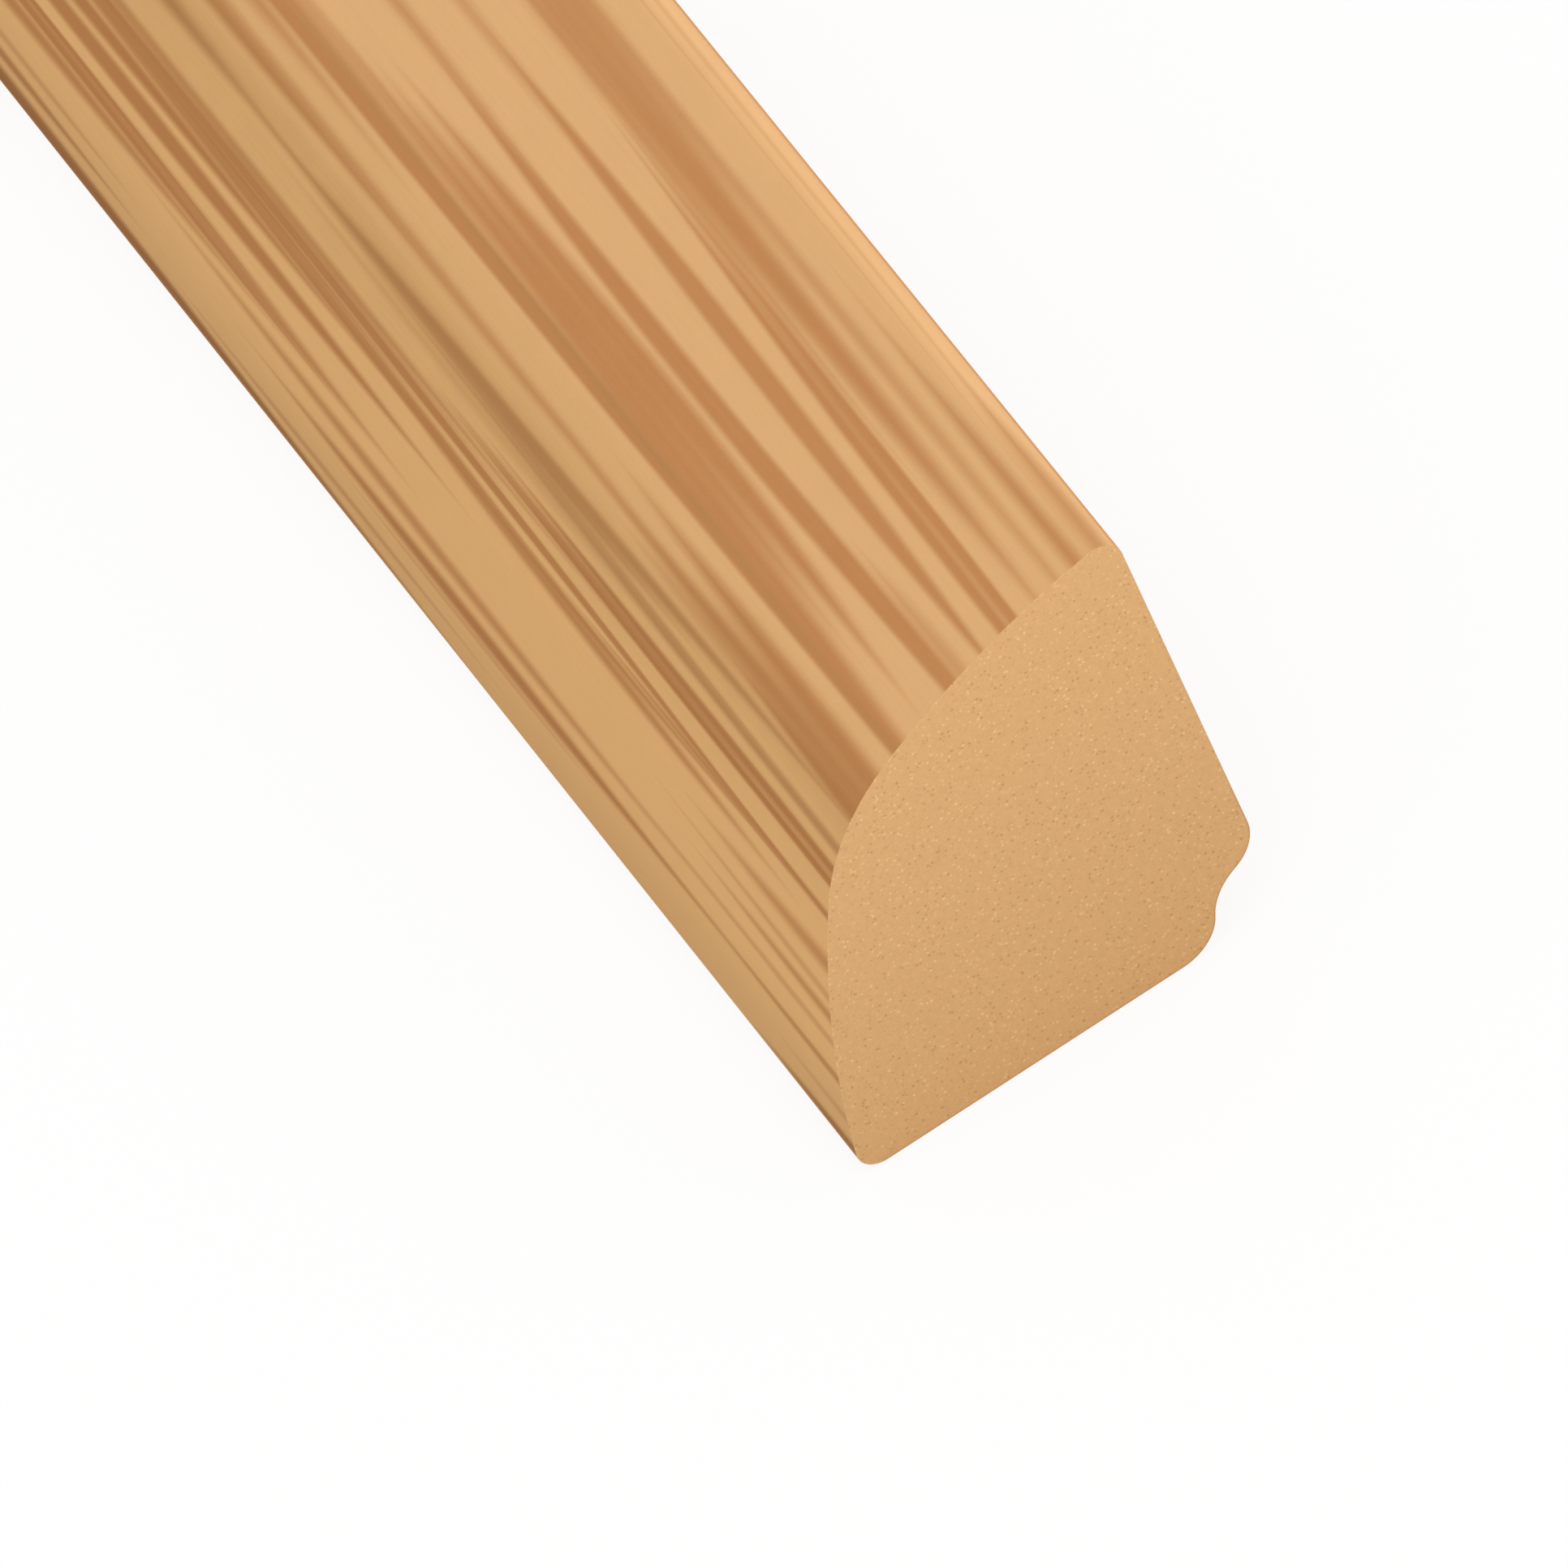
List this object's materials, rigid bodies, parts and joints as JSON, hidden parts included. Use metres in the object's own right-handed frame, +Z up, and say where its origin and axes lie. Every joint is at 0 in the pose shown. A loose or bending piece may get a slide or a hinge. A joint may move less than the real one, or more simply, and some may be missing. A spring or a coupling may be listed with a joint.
{
  "type": "quarter round moulding",
  "caption": "Quarter round trim of foamed PVC with a woodgrain face, two flat legs and a relieved back corner, to cover the joint between a floor and a wall.",
  "frame": {"origin": "bottom centre of the bounding box: middle of the length, on the plane of the floor leg", "axes": "+X along the stock, +Y out of the wall leg, +Z up out of the floor"},
  "size_m": [2.4384, 0.0158, 0.019],
  "materials": {
    "woodgrain_pvc": "foamed PVC in light tan, with a satin pine grain print on the rounded face and bare fine-celled foam on the sawn ends"
  },
  "bodies": {
    "root": {"quarter_round": "woodgrain_pvc"}
  },
  "joints": []
}
